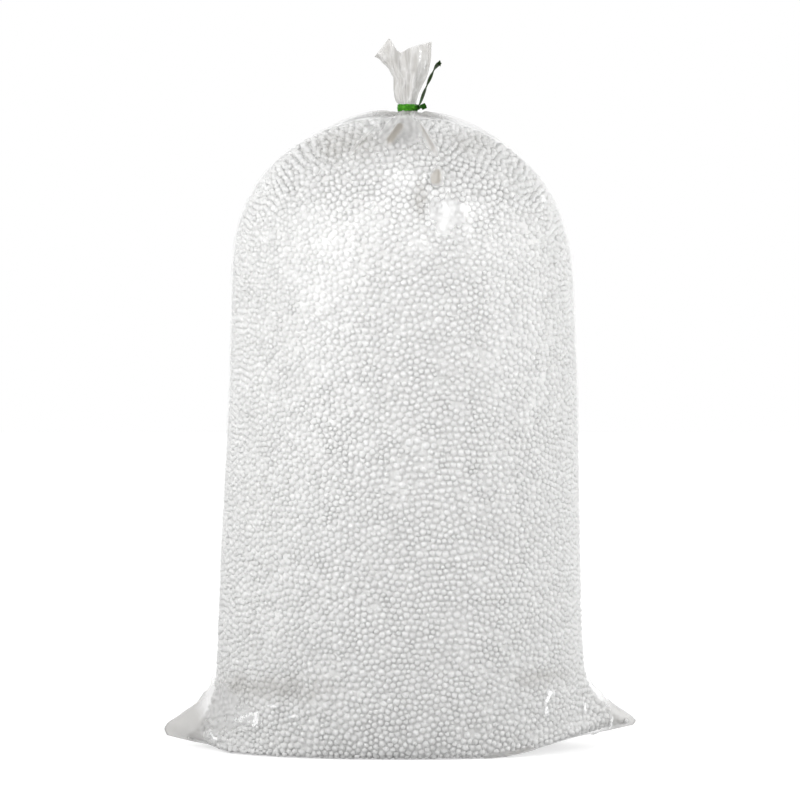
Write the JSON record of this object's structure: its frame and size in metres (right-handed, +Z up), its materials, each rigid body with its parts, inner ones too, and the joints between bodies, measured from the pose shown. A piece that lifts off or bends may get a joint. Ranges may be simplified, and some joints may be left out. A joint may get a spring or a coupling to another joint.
{
  "type": "bag of bean bag filler",
  "caption": "Clear film bag of white polystyrene beads that refill a bean bag. It stands on its sealed end, and a green twist tie closes its gathered neck under a tuft of film.",
  "frame": {"origin": "on the floor, below the middle of the bag's box", "axes": "+Z up, +X to the right of someone who looks at the front, the front faces -Y"},
  "size_m": [0.2932, 0.1924, 0.44],
  "materials": {
    "clear_film": "clear thin polythene film, glossy, a little milky where it is bunched",
    "beads": "white expanded polystyrene beads, satin",
    "tie_plastic": "green plastic ribbon over a wire, glossy"
  },
  "bodies": {
    "root": {"film_bag": "clear_film", "bead_fill": "beads", "twist_tie": "tie_plastic"}
  },
  "joints": []
}
